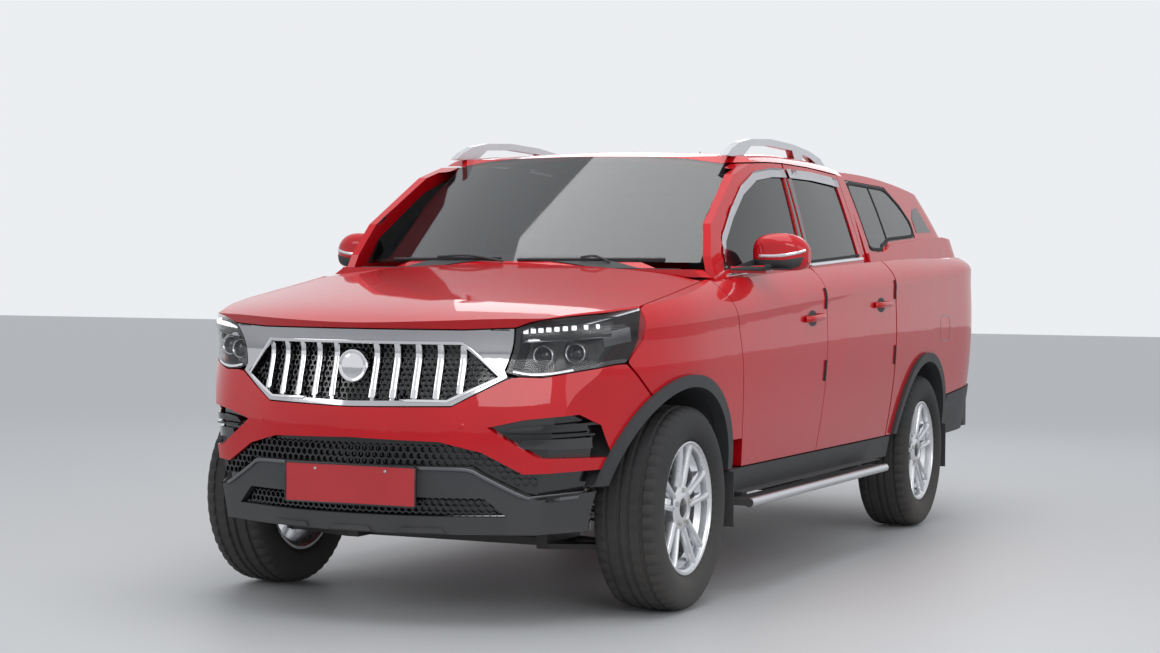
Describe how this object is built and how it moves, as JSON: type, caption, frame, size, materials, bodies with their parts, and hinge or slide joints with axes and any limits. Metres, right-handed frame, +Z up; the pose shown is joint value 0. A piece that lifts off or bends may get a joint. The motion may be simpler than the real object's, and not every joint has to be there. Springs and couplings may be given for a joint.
{
  "type": "double-cab pickup truck",
  "caption": "Double-cab pickup truck with a body-coloured hardtop over the load bed, opening doors, bonnet, tailgate and rear hatch, steered front wheels.",
  "frame": {"origin": "centre of the truck's outline on the ground, under the wheels", "axes": "-Y forward, +X to the driver's left, +Z up"},
  "size_m": [2.172, 5.405, 1.8449],
  "materials": {
    "paint": "glossy deep red lacquer",
    "dark_plastic": "matt dark grey",
    "gloss_black": "gloss black",
    "chrome": "dark chrome",
    "satin_rail": "satin",
    "alloy": "bright silver paint",
    "tinted_glass": "tinted glass",
    "clear_glass": "lightly tinted glass",
    "lamp_lens": "clear lens",
    "lamp_inside": "dark bezel",
    "red_lens": "red lens",
    "tyre": "black",
    "chassis": "black chassis paint",
    "cast": "cast grey",
    "steel": "exhaust steel",
    "seat_cloth": "dark cloth",
    "interior": "grained dark plastic",
    "plate_red": "plain red plate"
  },
  "bodies": {
    "vehicle_body": {"arch_flares": "dark_plastic", "bed": "paint", "bumper_guard": "dark_plastic", "cab_body": "paint", "cab_rear_window": "tinted_glass", "canopy": "paint", "canopy_side_windows": "tinted_glass", "chassis_frame": "chassis", "dashboard": "interior", "engine": "cast", "exhaust": "steel", "fender_left": "paint", "fender_right": "paint", "front_bumper": "paint", "front_seats": "seat_cloth", "front_suspension": "chassis", "fuel_tank": "dark_plastic", "grille": "chrome", "headlamp_housings": "lamp_inside", "headlamp_lenses": "lamp_lens", "mud_flaps": "dark_plastic", "nose_backing": "gloss_black", "plate": "plate_red", "rear_axle": "chassis", "rear_bumper": "dark_plastic", "rear_seat": "seat_cloth", "roof_rails": "satin_rail", "side_steps": "dark_plastic", "steering_wheel": "interior", "tail_lamps": "red_lens", "wheel_liners": "dark_plastic", "windscreen": "clear_glass"},
    "steer_left": {"knuckle_left": "cast"},
    "front_wheel_left": {"front_rim_left": "alloy", "front_tyre_left": "tyre"},
    "rear_wheel_left": {"rear_rim_left": "alloy", "rear_tyre_left": "tyre"},
    "front_door_left": {"front_door_left": "paint", "front_door_glass_left": "tinted_glass", "mirror_left": "paint"},
    "rear_door_left": {"rear_door_left": "paint", "rear_door_glass_left": "tinted_glass"},
    "steer_right": {"knuckle_right": "cast"},
    "front_wheel_right": {"front_rim_right": "alloy", "front_tyre_right": "tyre"},
    "rear_wheel_right": {"rear_rim_right": "alloy", "rear_tyre_right": "tyre"},
    "front_door_right": {"front_door_right": "paint", "front_door_glass_right": "tinted_glass", "mirror_right": "paint"},
    "rear_door_right": {"rear_door_right": "paint", "rear_door_glass_right": "tinted_glass"},
    "bonnet": {"bonnet": "paint"},
    "tailgate": {"tailgate": "paint"},
    "canopy_hatch": {"canopy_hatch": "tinted_glass"}
  },
  "joints": [
    {"name": "steer_left", "type": "hinge", "parent": "vehicle_body", "child": "steer_left", "pos_m": [0.76, -1.8125, 0.378], "axis": [0, 0, 1], "range_deg": [-35, 35]},
    {"name": "front_wheel_left_spin", "type": "hinge", "parent": "steer_left", "child": "front_wheel_left", "pos_m": [0.82, -1.8125, 0.378], "axis": [1, 0, 0], "continuous": true},
    {"name": "rear_wheel_left_spin", "type": "hinge", "parent": "vehicle_body", "child": "rear_wheel_left", "pos_m": [0.82, 1.3975, 0.378], "axis": [1, 0, 0], "continuous": true},
    {"name": "front_door_left_hinge", "type": "hinge", "parent": "vehicle_body", "child": "front_door_left", "pos_m": [0.94, -1.24, 0.9], "axis": [0, 0, -1], "range_deg": [0, 60]},
    {"name": "rear_door_left_hinge", "type": "hinge", "parent": "vehicle_body", "child": "rear_door_left", "pos_m": [0.94, -0.192, 0.9], "axis": [0, 0, -1], "range_deg": [0, 60]},
    {"name": "steer_right", "type": "hinge", "parent": "vehicle_body", "child": "steer_right", "pos_m": [-0.76, -1.8125, 0.378], "axis": [0, 0, 1], "range_deg": [-35, 35]},
    {"name": "front_wheel_right_spin", "type": "hinge", "parent": "steer_right", "child": "front_wheel_right", "pos_m": [-0.82, -1.8125, 0.378], "axis": [1, 0, 0], "continuous": true},
    {"name": "rear_wheel_right_spin", "type": "hinge", "parent": "vehicle_body", "child": "rear_wheel_right", "pos_m": [-0.82, 1.3975, 0.378], "axis": [1, 0, 0], "continuous": true},
    {"name": "front_door_right_hinge", "type": "hinge", "parent": "vehicle_body", "child": "front_door_right", "pos_m": [-0.94, -1.24, 0.9], "axis": [0, 0, 1], "range_deg": [0, 60]},
    {"name": "rear_door_right_hinge", "type": "hinge", "parent": "vehicle_body", "child": "rear_door_right", "pos_m": [-0.94, -0.192, 0.9], "axis": [0, 0, 1], "range_deg": [0, 60]},
    {"name": "bonnet_hinge", "type": "hinge", "parent": "vehicle_body", "child": "bonnet", "pos_m": [0, -1.418, 1.278], "axis": [-1, 0, 0], "range_deg": [0, 45]},
    {"name": "tailgate_hinge", "type": "hinge", "parent": "vehicle_body", "child": "tailgate", "pos_m": [0, 2.582, 0.742], "axis": [-1, 0, 0], "range_deg": [0, 90]},
    {"name": "canopy_hatch_hinge", "type": "hinge", "parent": "vehicle_body", "child": "canopy_hatch", "pos_m": [0, 2.206, 1.656], "axis": [1, 0, 0], "range_deg": [0, 75]}
  ],
  "couplings": [
    {"joint": "steer_right", "follows": "steer_left", "ratio": 1}
  ]
}
